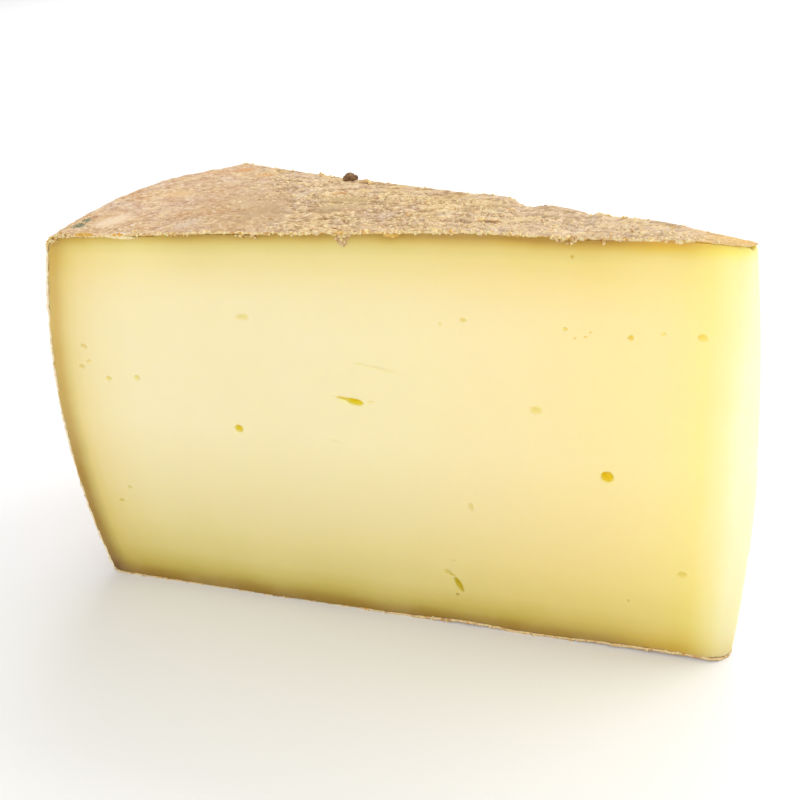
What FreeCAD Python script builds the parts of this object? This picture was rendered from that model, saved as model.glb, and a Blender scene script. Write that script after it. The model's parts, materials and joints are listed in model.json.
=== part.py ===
import FreeCAD, Part
import math
import os

# A wedge of alpine cheese, cut from the middle of a wheel out to its rim and
# standing on the wheel's lower rind.  One piece, one solid.
# Frame: +Z up.  The shown cut lies along X and faces -Y, the blunt tip (the
# nose) points to +X, and the bulged rim of the wheel points to -X.
# The origin is the middle of the box round the footprint, on the table.
# The shape is made about the wheel's middle, where the two cuts would meet,
# and moved to that origin at the end.

# ---------------------------------------------------------------- dimensions
# Lengths in mm, angles in degrees.
wheel_height = 80.0        # table to the highest point of the crown
wheel_radius = 138.4       # wheel's middle to the rim's upper corner, along a cut
wedge_angle = 24.2         # between the two cuts
rim_rise = 6.0             # rim's arc, seen from above, beyond the line joining its ends
crown_drop = 2.4           # fall of the top rind from its crown to the rim
belly_out = 7.0            # fullest part of the rim beyond its upper corner
belly_height = 35.0        # height of that fullest part
foot_out = 3.0             # lower corner of the rim beyond its upper corner
top_shoulder = 3.0         # rounding of the upper corner
foot_shoulder = 1.8        # rounding of the lower corner
nose_back = 8.9            # wheel's middle to the fullest part of the nose
nose_bow = 3.4             # how far the nose's top lies behind its fullest part
nose_bow_height = 31.0     # height of the nose's fullest part
nose_round = 4.4           # rounding of the nose on the shown side
spare = 5.0                # how far the cutting tools run past the cheese

# Round eyes of a cut, one a row: place along the cut from the nose, as a share
# of the cut's length, height as a share of the wheel's, width of the opening
# and depth.
shown_eyes = [
    (0.737, 0.499, 1.8, 1.4),
    (0.285, 0.616, 2.1, 0.6),
    (0.190, 0.468, 2.5, 1.8),
]
hidden_eyes = [
    (0.232, 0.687, 2.3, 1.5),
    (0.571, 0.762, 1.8, 1.3),
    (0.865, 0.625, 2.1, 1.4),
]
# Slits of a cut: the same two places, length, width, depth, and the angle by
# which the slit falls towards the nose.
shown_slits = [
    (0.704, 0.795, 2.8, 1.4, 0.6, 10.0),
    (0.552, 0.603, 6.2, 1.4, 1.6, 6.0),
    (0.408, 0.135, 4.6, 1.7, 1.4, 47.0),
]
hidden_slits = [
    (0.402, 0.275, 5.2, 1.4, 1.4, 12.0),
    (0.680, 0.425, 3.0, 1.5, 0.8, -20.0),
]

# ------------------------------------------------------------- worked values
wedge_turn = math.radians(wedge_angle)
chord = 2.0 * wheel_radius * math.sin(wedge_turn / 2.0)
rim_radius = (chord ** 2 / 4.0 + rim_rise ** 2) / (2.0 * rim_rise)
axis_reach = wheel_radius * math.cos(wedge_turn / 2.0) + rim_rise - rim_radius
bow_radius = (wheel_height - nose_bow_height) ** 2 / (2.0 * nose_bow)
cut_length = wheel_radius - nose_back
reach = wheel_radius + rim_rise + belly_out + spare
up = FreeCAD.Vector(0, 0, 1)
wheel_middle = FreeCAD.Vector(0, 0, 0)


def at_distance(centre, radius, towards):
    """The point at one distance from a centre, in the direction of another point."""
    return centre + (towards - centre).normalize() * radius


def ball_seat(centre_a, radius_a, centre_b, radius_b):
    """The outer point of the XZ plane that lies at given distances from two centres."""
    apart = centre_b - centre_a
    along = (radius_a ** 2 - radius_b ** 2 + apart.Length ** 2) / (2.0 * apart.Length)
    aside = math.sqrt(radius_a ** 2 - along ** 2)
    ahead = FreeCAD.Vector(apart).normalize()
    across = FreeCAD.Vector(abs(ahead.z), 0, -math.copysign(ahead.x, ahead.z))
    return centre_a + ahead * along + across * aside


def arc_between(centre, radius, start, end):
    """The short arc about a centre from one of its points to another."""
    middle = at_distance(centre, radius, (start + end) * 0.5)
    return Part.Arc(start, middle, end).toShape()


def wheel_outline():
    """Half the wheel's section, from its axis out: flat foot, bulged side, crowned top."""
    rim_top = wheel_height - crown_drop
    foot_middle = FreeCAD.Vector(0, 0, 0)
    foot_corner = FreeCAD.Vector(rim_radius + foot_out, 0, 0)
    belly = FreeCAD.Vector(rim_radius + belly_out, 0, belly_height)
    top_corner = FreeCAD.Vector(rim_radius, 0, rim_top)
    crown = FreeCAD.Vector(0, 0, wheel_height)
    side = Part.Arc(foot_corner, belly, top_corner).toShape().Curve
    crown_radius = (rim_radius ** 2 + crown_drop ** 2) / (2.0 * crown_drop)
    crown_centre = FreeCAD.Vector(0, 0, wheel_height - crown_radius)

    foot_reach = side.Radius - foot_shoulder
    foot_ball_x = side.Center.x + math.sqrt(foot_reach ** 2 - (foot_shoulder - side.Center.z) ** 2)
    foot_ball = FreeCAD.Vector(foot_ball_x, 0, foot_shoulder)
    foot_end = FreeCAD.Vector(foot_ball_x, 0, 0)
    side_start = at_distance(side.Center, side.Radius, foot_ball)

    top_ball = ball_seat(side.Center, side.Radius - top_shoulder, crown_centre, crown_radius - top_shoulder)
    side_end = at_distance(side.Center, side.Radius, top_ball)
    crown_start = at_distance(crown_centre, crown_radius, top_ball)
    return Part.Wire([
        Part.LineSegment(foot_middle, foot_end).toShape(),
        arc_between(foot_ball, foot_shoulder, foot_end, side_start),
        arc_between(side.Center, side.Radius, side_start, side_end),
        arc_between(top_ball, top_shoulder, side_end, crown_start),
        arc_between(crown_centre, crown_radius, crown_start, crown),
        Part.LineSegment(crown, foot_middle).toShape(),
    ])


def wheel_disc():
    """The round cheese, its own axis where the rim's arc has its middle."""
    disc = Part.Face(wheel_outline()).revolve(wheel_middle, up, 360)
    half_turn = wedge_turn / 2.0
    disc.translate(FreeCAD.Vector(-axis_reach * math.cos(half_turn), axis_reach * math.sin(half_turn), 0))
    return disc


def nose_point(height):
    """The outermost point of the nose at one height, on its upright bow."""
    back = bow_radius - math.sqrt(bow_radius ** 2 - (height - nose_bow_height) ** 2)
    return FreeCAD.Vector(-nose_back - back, 0, height)


def shown_block():
    """What the shown cut and the bowed nose leave: a block with one rounded upright edge."""
    low = nose_point(-spare)
    high = nose_point(wheel_height + spare)
    far_low = FreeCAD.Vector(-reach, 0, low.z)
    far_high = FreeCAD.Vector(-reach, 0, high.z)
    outline = Part.Wire([
        Part.LineSegment(far_low, low).toShape(),
        Part.Arc(low, nose_point(nose_bow_height), high).toShape(),
        Part.LineSegment(high, far_high).toShape(),
        Part.LineSegment(far_high, far_low).toShape(),
    ])
    block = Part.Face(outline).extrude(FreeCAD.Vector(0, reach, 0))
    on_cut = [e for e in block.Edges if e.BoundBox.YMax < 0.001]
    return block.makeFillet(nose_round, [max(on_cut, key=lambda e: e.BoundBox.XMin)])


def hidden_side():
    """Everything beyond the hidden cut, as a box turned about the wheel's middle."""
    height = wheel_height + 2.0 * spare
    box = Part.makeBox(3.0 * reach, 2.0 * reach, height, FreeCAD.Vector(-2.0 * reach, 0, -spare))
    box.rotate(wheel_middle, up, -wedge_angle)
    return box


def eye(width, depth):
    """A round bubble that opens this wide where the plane y = 0 cuts it, and is deep in +Y."""
    radius = (width ** 2 / 4.0 + depth ** 2) / (2.0 * depth)
    return Part.makeSphere(radius, FreeCAD.Vector(0, depth - radius, 0))


def slit(length, width, depth):
    """A crack with pointed ends along X, as wide as this in Z and deep in +Y."""
    left = FreeCAD.Vector(-length / 2.0, -depth, 0)
    right = FreeCAD.Vector(length / 2.0, -depth, 0)
    lips = Part.Wire([
        Part.Arc(left, FreeCAD.Vector(0, -depth, width / 2.0), right).toShape(),
        Part.Arc(right, FreeCAD.Vector(0, -depth, -width / 2.0), left).toShape(),
    ])
    crack = Part.Face(lips).extrude(FreeCAD.Vector(0, 3.0 * depth, 0))
    radius = (length ** 2 / 4.0 + depth ** 2) / (2.0 * depth)
    bed = Part.makeCylinder(radius, 2.0 * width, FreeCAD.Vector(0, depth - radius, -width))
    return crack.common(bed)


def place_in_cut(shape, along, height, tilt, cut_angle, inward_turn):
    """A hollow put at its place in the cut that stands at cut_angle to the shown one."""
    shape.rotate(wheel_middle, up, inward_turn)
    shape.rotate(wheel_middle, FreeCAD.Vector(0, 1, 0), tilt)
    shape.translate(FreeCAD.Vector(-nose_back - along * cut_length, 0, height * wheel_height))
    shape.rotate(wheel_middle, up, -cut_angle)
    return shape


def hollows():
    """Every eye and slit, those of the hidden cut turned to reach into the cheese from there."""
    made = []
    for eyes, slits, cut_angle, inward_turn in (
        (shown_eyes, shown_slits, 0.0, 0.0),
        (hidden_eyes, hidden_slits, wedge_angle, 180.0),
    ):
        for along, height, width, depth in eyes:
            made.append(place_in_cut(eye(width, depth), along, height, 0.0, cut_angle, inward_turn))
        for along, height, length, width, depth, tilt in slits:
            made.append(place_in_cut(slit(length, width, depth), along, height, tilt, cut_angle, inward_turn))
    return made


def corners(solid):
    """Lowest and highest corner of the box round a solid, from its fine facets."""
    points = solid.tessellate(0.01)[0]
    low = FreeCAD.Vector(min(p.x for p in points), min(p.y for p in points), min(p.z for p in points))
    high = FreeCAD.Vector(max(p.x for p in points), max(p.y for p in points), max(p.z for p in points))
    return low, high


def cheese_wedge():
    """The whole wedge, moved so that its footprint's box is centred on the origin."""
    wedge = wheel_disc().common(shown_block()).cut(hidden_side()).cut(hollows())
    solid = wedge.Solids[0]
    low, high = corners(solid)
    solid.translate(FreeCAD.Vector(-(low.x + high.x) / 2.0, -(low.y + high.y) / 2.0, -low.z))
    return solid


os.makedirs("parts", exist_ok=True)
cheese = cheese_wedge()
cheese.exportStep("parts/cheese_wedge.step")
low_corner, high_corner = corners(cheese)
print("valid:", cheese.isValid(), " volume cm3:", round(cheese.Volume / 1000.0, 1))
print("box mm:", [round(v, 2) for v in (*low_corner, *high_corner)])
print("rim radius mm:", round(rim_radius, 1))
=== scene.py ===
import json
import math
import random

import bpy
import numpy as np
from mathutils import Matrix, Vector

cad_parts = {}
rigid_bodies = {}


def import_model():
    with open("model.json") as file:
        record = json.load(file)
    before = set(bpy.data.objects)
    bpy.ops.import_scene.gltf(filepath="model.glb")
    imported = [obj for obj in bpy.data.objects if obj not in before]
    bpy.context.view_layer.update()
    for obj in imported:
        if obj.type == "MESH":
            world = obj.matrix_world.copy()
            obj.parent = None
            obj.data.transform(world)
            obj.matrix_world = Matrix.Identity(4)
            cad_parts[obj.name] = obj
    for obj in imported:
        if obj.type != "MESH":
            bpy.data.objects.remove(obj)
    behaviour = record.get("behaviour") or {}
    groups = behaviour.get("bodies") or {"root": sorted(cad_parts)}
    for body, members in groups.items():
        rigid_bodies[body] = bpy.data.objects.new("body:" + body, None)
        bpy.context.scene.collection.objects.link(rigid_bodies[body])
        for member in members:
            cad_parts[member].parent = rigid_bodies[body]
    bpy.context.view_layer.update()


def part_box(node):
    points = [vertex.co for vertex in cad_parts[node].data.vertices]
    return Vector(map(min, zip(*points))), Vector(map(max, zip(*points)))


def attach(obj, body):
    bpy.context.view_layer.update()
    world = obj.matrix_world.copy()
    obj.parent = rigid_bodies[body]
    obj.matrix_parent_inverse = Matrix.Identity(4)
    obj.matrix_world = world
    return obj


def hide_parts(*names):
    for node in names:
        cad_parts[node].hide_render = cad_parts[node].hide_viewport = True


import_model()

# A wedge of alpine cheese: its paste, the rind over it in three sheets, the
# crumbs and flakes that sit on the rind, and a few specks of mould.
# All lengths are metres; MM turns millimetres into them.
MM = 0.001
low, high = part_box("cheese_wedge")

# ------------------------------------------------------------ the wheel
wheel_height = 80.0 * MM
wheel_radius = 138.4 * MM
wedge_angle = math.radians(24.2)
rim_rise = 6.0 * MM
crown_drop = 2.4 * MM
side_centre = Vector((-62.012, 33.517)) * MM      # of the side's arc, from the rim's axis
side_radius = 142.158 * MM
top_ball = Vector((70.90, 74.739)) * MM
top_shoulder = 3.0 * MM
foot_ball = Vector((74.715, 1.8)) * MM
foot_shoulder = 1.8 * MM
nose_back = 8.9 * MM
nose_bow = 3.4 * MM
nose_bow_height = 31.0 * MM
nose_round = 4.4 * MM
nose_gap = 3.3             # millimetres from the nose's end to where distances along the cut start
nose_start = high.x - nose_gap * MM

half_chord = wheel_radius * math.sin(wedge_angle / 2.0)
rim_radius = (half_chord ** 2 + rim_rise ** 2) / (2.0 * rim_rise)
axis_reach = wheel_radius * math.cos(wedge_angle / 2.0) + rim_rise - rim_radius
crown_radius = (rim_radius ** 2 + crown_drop ** 2) / (2.0 * crown_drop)
bow_radius = (wheel_height - nose_bow_height) ** 2 / (2.0 * nose_bow)
cuts_meet = Vector((high.x + nose_back, low.y, 0.0))
to_axis = Vector((-math.cos(wedge_angle / 2.0), math.sin(wedge_angle / 2.0), 0.0))
rim_axis = cuts_meet + axis_reach * to_axis
shown_out = Vector((0.0, -1.0, 0.0))
hidden_out = Vector((math.sin(wedge_angle), math.cos(wedge_angle), 0.0))
hidden_along = Vector((-math.cos(wedge_angle), math.sin(wedge_angle), 0.0))

rind_thick = {"rind_top": 1.1 * MM, "rind_side": 0.5 * MM, "rind_base": 0.55 * MM}
rind_lip = 0.15            # the top rind's share of its thickness at the tip of the nose
paste_inset = 0.40 * MM
paste_sink = 0.55 * MM     # how much deeper the paste lies under the top rind, away from the cuts
paste_swell = 0.16 * MM    # how much closer it comes to the rind at the cuts
paste_grain = 0.72 * MM
blunt = 0.5 * MM           # how far from a cut the paste's edges come out blunted
rind_grain = 0.36 * MM
spare = 2.0 * MM           # how far the uncut skin runs past the cuts
rind_floor = 0.02 * MM     # lowest height of the rind and its crumbs
paste_floor = 0.1 * MM     # lowest height of the paste
edge_step = 10.0 * MM      # the rise that a whole step of an edge line stands for
# Fixed points that a mesh's parts are numbered from.
order_points = [(0.1137, -0.0731, 0.1619), (-0.0411, 0.0173, 0.0293), (0.0277, -0.0119, 0.0517)]


# ------------------------------------------------------------ bench work
def take(piece):
    """The piece alone is selected and active."""
    if bpy.context.object and bpy.context.object.mode != "OBJECT":
        bpy.ops.object.mode_set(mode="OBJECT")
    bpy.ops.object.select_all(action="DESELECT")
    piece.select_set(True)
    bpy.context.view_layer.objects.active = piece


def open_up(piece):
    """Edit mode with all of the piece selected."""
    take(piece)
    bpy.ops.object.mode_set(mode="EDIT")
    bpy.ops.mesh.select_all(action="SELECT")


def close_up():
    bpy.ops.object.mode_set(mode="OBJECT")


def settle_place(piece):
    """The object goes to the origin, unturned and unscaled, its place kept in its mesh."""
    take(piece)
    bpy.ops.object.transform_apply(location=True, rotation=True, scale=True)


def apply_all(piece):
    take(piece)
    for modifier in list(piece.modifiers):
        bpy.ops.object.modifier_apply(modifier=modifier.name)


def copy_of(piece, name):
    twin = piece.copy()
    twin.data = piece.data.copy()
    twin.name = name
    bpy.context.scene.collection.objects.link(twin)
    return twin


def drop(piece):
    mesh = piece.data
    bpy.data.objects.remove(piece)
    bpy.data.meshes.remove(mesh)


def join(pieces, name):
    take(pieces[0])
    for piece in pieces[1:]:
        piece.select_set(True)
    if len(pieces) > 1:
        bpy.ops.object.join()
    pieces[0].name = name
    return pieces[0]


def face_facts(piece):
    """Centres and normals of a mesh's faces, as arrays."""
    count = len(piece.data.polygons)
    centres = np.zeros(count * 3)
    normals = np.zeros(count * 3)
    piece.data.polygons.foreach_get("center", centres)
    piece.data.polygons.foreach_get("normal", normals)
    return centres.reshape(-1, 3), normals.reshape(-1, 3)


def pick_faces(piece, chosen):
    """Enters edit mode with exactly these faces selected."""
    take(piece)
    bpy.ops.object.mode_set(mode="EDIT")
    bpy.ops.mesh.select_mode(type="FACE")
    bpy.ops.mesh.select_all(action="DESELECT")
    close_up()
    piece.data.polygons.foreach_set("select", chosen.astype(bool))
    bpy.ops.object.mode_set(mode="EDIT")


def delete_faces(piece, chosen):
    pick_faces(piece, chosen)
    bpy.ops.mesh.delete(type="FACE")
    close_up()


def split_off(piece, chosen, name):
    """These faces become a piece of their own."""
    before = set(bpy.data.objects)
    pick_faces(piece, chosen)
    bpy.ops.mesh.separate(type="SELECTED")
    close_up()
    made = [o for o in bpy.data.objects if o not in before][0]
    made.name = name
    return made


def trim(piece, point, outward, fill):
    """Cuts away what lies beyond a plane, and caps the cut if asked."""
    open_up(piece)
    bpy.ops.mesh.bisect(plane_co=point, plane_no=outward, clear_outer=True, use_fill=fill)
    close_up()


# ------------------------------------------------------------ node bench
def paint(red, green, blue):
    """A colour as a screen shows it, 0 to 255, as the shader wants it."""
    def linear(value):
        value /= 255.0
        return value / 12.92 if value <= 0.04045 else ((value + 0.055) / 1.055) ** 2.4
    return linear(red), linear(green), linear(blue), 1.0


def tones(rows):
    """Ramp stops from rows of place, red, green and blue."""
    return [(place, paint(*colour)) for place, *colour in rows]


class Wire:
    """A value that runs through a node tree; a sum or product of it adds the node it needs."""

    def __init__(self, bench, socket):
        self.bench = bench
        self.socket = socket

    def __add__(self, other):
        return self.bench.maths("ADD", self, other)

    def __radd__(self, other):
        return self.bench.maths("ADD", other, self)

    def __sub__(self, other):
        return self.bench.maths("SUBTRACT", self, other)

    def __rsub__(self, other):
        return self.bench.maths("SUBTRACT", other, self)

    def __mul__(self, other):
        return self.bench.maths("MULTIPLY", self, other)


class Bench:
    """A node tree being wired; each call adds a node and gives back its output."""

    def __init__(self, tree):
        self.tree = tree

    def put(self, socket, value):
        if isinstance(value, Wire):
            self.tree.links.new(value.socket, socket)
        else:
            socket.default_value = value

    def node(self, kind, inputs, **settings):
        node = self.tree.nodes.new(kind)
        for name, value in settings.items():
            setattr(node, name, value)
        for key, value in inputs.items():
            self.put(node.inputs[key], value)
        return node

    def add(self, kind, inputs, output=0, **settings):
        return Wire(self, self.node(kind, inputs, **settings).outputs[output])

    def maths(self, how, a, b=0.0):
        return self.add("ShaderNodeMath", {0: a, 1: b}, operation=how)

    def vector(self, how, a, b=(0.0, 0.0, 0.0), output=0):
        return self.add("ShaderNodeVectorMath", {0: a, 1: b}, output=output, operation=how)

    def shift(self, place, by):
        return self.vector("ADD", place, by)

    def stretch(self, place, by):
        return self.vector("MULTIPLY", place, by)

    def length(self, place):
        return self.vector("LENGTH", place, output=1)

    def dot(self, place, direction):
        return self.vector("DOT_PRODUCT", place, tuple(direction), output=1)

    def combine(self, x=0.0, y=0.0, z=0.0):
        return self.add("ShaderNodeCombineXYZ", {0: x, 1: y, 2: z})

    def reach_out(self, direction, far):
        """A direction drawn out as far as this."""
        return self.stretch(direction, self.combine(far, far, far))

    def parts(self, place):
        return [Wire(self, output) for output in self.node("ShaderNodeSeparateXYZ", {0: place}).outputs]

    def from_rim_axis(self, place):
        """The way from the rim's axis to a place, in plan."""
        return self.stretch(self.shift(place, (-rim_axis.x, -rim_axis.y, 0.0)), (1.0, 1.0, 0.0))

    def to_hidden(self, place):
        """How far a place lies beyond the hidden cut; inside the cheese it is negative."""
        return self.dot(self.shift(place, tuple(-cuts_meet)), hidden_out)

    def noise(self, place, size, detail=2.0, rough=0.5, warp=0.0):
        """Soft random value about 0.5, its lumps about this size in metres."""
        return self.add("ShaderNodeTexNoise", {
            "Vector": place, "Scale": 1.0 / size, "Detail": detail, "Roughness": rough, "Distortion": warp,
        })

    def cells(self, place, size, output=0):
        return self.add("ShaderNodeTexVoronoi", {"Vector": place, "Scale": 1.0 / size}, output=output)

    def spread(self, value, start, end, to_start=0.0, to_end=1.0, how="SMOOTHSTEP"):
        return self.add("ShaderNodeMapRange", {
            0: value, 1: start, 2: end, 3: to_start, 4: to_end,
        }, interpolation_type=how)

    def mix(self, share, a, b, how="MIX"):
        return self.add("ShaderNodeMix", {0: share, 6: a, 7: b}, output=2, data_type="RGBA", blend_type=how)

    def layer(self, colour, value, start, end, most, tint):
        """A tint laid over a colour: none where a value is at its start, most at its end."""
        return self.mix(self.spread(value, start, end) * most, colour, paint(*tint))

    def ramp(self, value, stops):
        node = self.node("ShaderNodeValToRGB", {0: value})
        band = node.color_ramp.elements
        for number, (place, colour) in enumerate(stops):
            stop = band[number] if number < 2 else band.new(place)
            stop.position = place
            stop.color = colour
        return Wire(self, node.outputs[0])

    def line(self, value, points):
        """How far above its middle a smooth line through points runs at a value."""
        node = self.node("ShaderNodeFloatCurve", {1: value})
        line = node.mapping.curves[0]
        line.points[0].location = points[0]
        line.points[-1].location = points[-1]
        for place in points[1:-1]:
            line.points.new(*place)
        node.mapping.use_clip = False
        node.mapping.update()
        return Wire(self, node.outputs[0]) - 0.5


class GeometryBench(Bench):
    """A geometry tree with its two ends, to be put on a piece and applied."""

    def __init__(self, name):
        super().__init__(bpy.data.node_groups.new(name, "GeometryNodeTree"))
        for way in ("INPUT", "OUTPUT"):
            self.tree.interface.new_socket("Geometry", in_out=way, socket_type="NodeSocketGeometry")
        self.start = self.add("NodeGroupInput", {})
        self.end = self.tree.nodes.new("NodeGroupOutput").inputs[0]
        self.place = self.add("GeometryNodeInputPosition", {})
        self.facing = self.add("GeometryNodeInputNormal", {})

    def named(self, name):
        return self.add("GeometryNodeInputNamedAttribute", {"Name": name}, data_type="FLOAT")

    def keep(self, geometry, name, value):
        return self.add("GeometryNodeStoreNamedAttribute", {
            "Geometry": geometry, "Name": name, "Value": value,
        }, data_type="FLOAT", domain="POINT")

    def move(self, geometry, offset):
        return self.add("GeometryNodeSetPosition", {"Geometry": geometry, "Offset": offset})

    def run(self, geometry, piece):
        self.put(self.end, geometry)
        modifier = piece.modifiers.new("shaping", "NODES")
        modifier.node_group = self.tree
        apply_all(piece)


class LookBench(Bench):
    """A material's tree with its shader, and the place that its patterns read."""

    def __init__(self, name):
        self.material = bpy.data.materials.new(name)
        self.material.use_nodes = True
        super().__init__(self.material.node_tree)
        self.place = self.add("ShaderNodeTexCoord", {}, output=3)

    def bump(self, height, strength, distance):
        return self.add("ShaderNodeBump", {"Height": height, "Strength": strength, "Distance": distance})

    def finish(self, sockets):
        shader = self.tree.nodes["Principled BSDF"]
        for name, value in sockets.items():
            self.put(shader.inputs[name], value)
        return self.material


# ------------------------------------------------------------ camera
camera_place = Vector((high.x - 5.92 * MM, low.y - 150.73 * MM, 128.78 * MM))
camera_lens = 44.85
camera_heading = 0.354
camera_dip = 0.4603
camera_roll = -0.0805


def add_camera():
    data = bpy.data.cameras.new("camera")
    data.lens = camera_lens
    data.sensor_width = 36.0
    data.clip_start = 0.01
    camera = bpy.data.objects.new("camera", data)
    bpy.context.scene.collection.objects.link(camera)
    turn = Matrix.Rotation(camera_heading, 4, "Z")
    dip = Matrix.Rotation(math.pi / 2.0 - camera_dip, 4, "X")
    roll = Matrix.Rotation(camera_roll, 4, "Z")
    camera.matrix_world = Matrix.Translation(camera_place) @ turn @ dip @ roll
    bpy.context.scene.camera = camera


# ------------------------------------------------------------ the body
def arc_points(centre, radius, start, end, count):
    """Points on an arc of the wheel's section, from one angle to another."""
    turns = [start + (end - start) * step / count for step in range(count + 1)]
    return [(centre.x + radius * math.cos(a), centre.y + radius * math.sin(a)) for a in turns]


def angle_at(centre, point):
    return math.atan2(point.y - centre.y, point.x - centre.x)


def wheel_rings(inset):
    """Radius and height of each ring, from the foot, up the bulged side, to the crown."""
    crown_centre = Vector((0.0, wheel_height - crown_radius))
    foot_turn = angle_at(side_centre, foot_ball)
    top_turn = angle_at(side_centre, top_ball)
    crown_turn = angle_at(crown_centre, top_ball)
    near_pole = math.pi / 2.0 - 0.4 * MM / crown_radius
    rings = arc_points(foot_ball, foot_shoulder - inset, -math.pi / 2.0, foot_turn, 4)
    rings += arc_points(side_centre, side_radius - inset, foot_turn, top_turn, 26)[1:]
    rings += arc_points(top_ball, top_shoulder - inset, top_turn, crown_turn, 5)[1:]
    rings += arc_points(crown_centre, crown_radius - inset, crown_turn, near_pole, 8)[1:]
    return rings


def wheel_body(name, inset):
    """The round cheese: a disc drawn up ring by ring and drawn in at the crown."""
    rings = wheel_rings(inset)
    bpy.ops.object.select_all(action="DESELECT")
    bpy.ops.mesh.primitive_circle_add(
        vertices=240, radius=rings[0][0], fill_type="NGON",
        location=(rim_axis.x, rim_axis.y, rings[0][1]))
    piece = bpy.context.object
    piece.name = name
    settle_place(piece)
    open_up(piece)
    for (radius, height), (next_radius, next_height) in zip(rings, rings[1:]):
        rise = (0.0, 0.0, next_height - height)
        bpy.ops.mesh.extrude_region_move(TRANSFORM_OT_translate={"value": rise})
        share = next_radius / radius
        middle = (rim_axis.x, rim_axis.y, next_height)
        bpy.ops.transform.resize(value=(share, share, 1.0), center_override=middle)
    bpy.ops.mesh.select_all(action="SELECT")
    bpy.ops.mesh.normals_make_consistent(inside=False)
    close_up()
    return piece


def cut_planes(margin):
    """Point and outward direction of every plane that bounds the wedge in plan."""
    planes = [(cuts_meet + margin * hidden_out, hidden_out)]
    middle = Vector((high.x - nose_round, low.y + nose_round, 0.0))
    steps = 8
    for step in range(steps + 1):
        turn = -math.pi / 2.0 * (1.0 - step / steps)
        outward = Vector((math.cos(turn), math.sin(turn), 0.0))
        planes.append((middle + (nose_round + margin) * outward, outward))
    return planes


def wedge_body(name, inset, margin):
    piece = wheel_body(name, inset)
    for point, outward in cut_planes(margin):
        trim(piece, point, outward, True)
    return piece


def steady_order(piece):
    """Vertices and faces are numbered by their distance from fixed points, the same in every run."""
    open_up(piece)
    bpy.ops.mesh.select_mode(type="VERT")
    bpy.ops.mesh.select_all(action="SELECT")
    for point in order_points:
        bpy.context.scene.cursor.location = point
        bpy.ops.mesh.sort_elements(type="CURSOR_DISTANCE", elements={"VERT", "EDGE", "FACE"})
    bpy.context.scene.cursor.location = (0.0, 0.0, 0.0)
    close_up()


def regrain(piece, size):
    """The whole surface becomes an even grid of small faces."""
    modifier = piece.modifiers.new("grain", "REMESH")
    modifier.mode = "VOXEL"
    modifier.voxel_size = size
    apply_all(piece)
    steady_order(piece)


# ------------------------------------------------------------ broad shape
def broad_shape(bench):
    """How the real wedge departs from the plain wheel: bowed nose, raised and sunken top."""
    place = bench.place
    x, y, z = bench.parts(place)
    reach = bench.length(bench.from_rim_axis(place))
    behind_nose = z - nose_bow_height
    back = behind_nose * behind_nose * (-0.5 / bow_radius)
    x_move = back * bench.spread(x, high.x - 26.0 * MM, high.x)

    high_up = bench.spread(z, 0.55 * wheel_height, wheel_height)
    near_hidden = bench.spread(bench.to_hidden(place), -14.0 * MM, 0.0)
    near_rim = bench.spread(reach, rim_radius - 26.0 * MM, rim_radius - 2.0 * MM)
    near_shown = bench.spread(y, low.y + 9.0 * MM, low.y)
    along = bench.spread(x, low.x, high.x, how="LINEAR")
    across = bench.spread(y, low.y, high.y, how="LINEAR")
    back_edge = bench.line(along, back_edge_line) * near_hidden
    rim_edge = bench.line(across, rim_edge_line) * near_rim * (1.0 - near_hidden)
    front_edge = bench.line(along, front_edge_line) * near_shown
    swell = (bench.noise(place, 22.0 * MM, 1.0) - 0.5) * (1.2 * MM) * (1.0 - near_shown)
    top_move = ((back_edge + rim_edge + front_edge) * edge_step + swell) * high_up

    at_foot = bench.spread(z, 6.0 * MM, 0.0) * bench.spread(y, low.y + 3.5 * MM, low.y)
    foot_edge = bench.line(along, foot_edge_line) * edge_step * at_foot
    return bench.combine(x=x_move, z=top_move + foot_edge)


def shape_broadly(piece):
    bench = GeometryBench("broad shape of " + piece.name)
    bench.run(bench.move(bench.start, broad_shape(bench)), piece)


# Each line runs from 0 to 1 along its edge; 0.5 leaves the edge as it is and
# each 0.1 more raises it one millimetre.
back_edge_line = [
    (0.0, 0.5), (0.15, 0.51), (0.25, 0.455), (0.4, 0.40), (0.52, 0.40), (0.6, 0.44), (0.645, 0.48),
    (0.667, 0.47), (0.69, 0.36), (0.71, 0.42), (0.75, 0.47), (0.765, 0.46), (0.778, 0.42), (0.79, 0.49),
    (0.805, 0.46), (0.83, 0.49), (0.9, 0.54), (1.0, 0.5),
]
rim_edge_line = [(0.0, 0.53), (0.2, 0.55), (0.5, 0.6), (0.8, 0.57), (1.0, 0.53)]
front_edge_line = [
    (0.0, 0.53), (0.1, 0.49), (0.18, 0.48), (0.27, 0.515), (0.43, 0.52), (0.5, 0.54), (0.55, 0.565),
    (0.635, 0.60), (0.715, 0.60), (0.77, 0.58), (0.83, 0.61), (0.92, 0.63), (1.0, 0.585),
]
foot_edge_line = [
    (0.0, 0.5), (0.55, 0.5), (0.62, 0.55), (0.72, 0.5), (0.85, 0.55), (0.95, 0.55), (1.0, 0.5),
]


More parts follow.
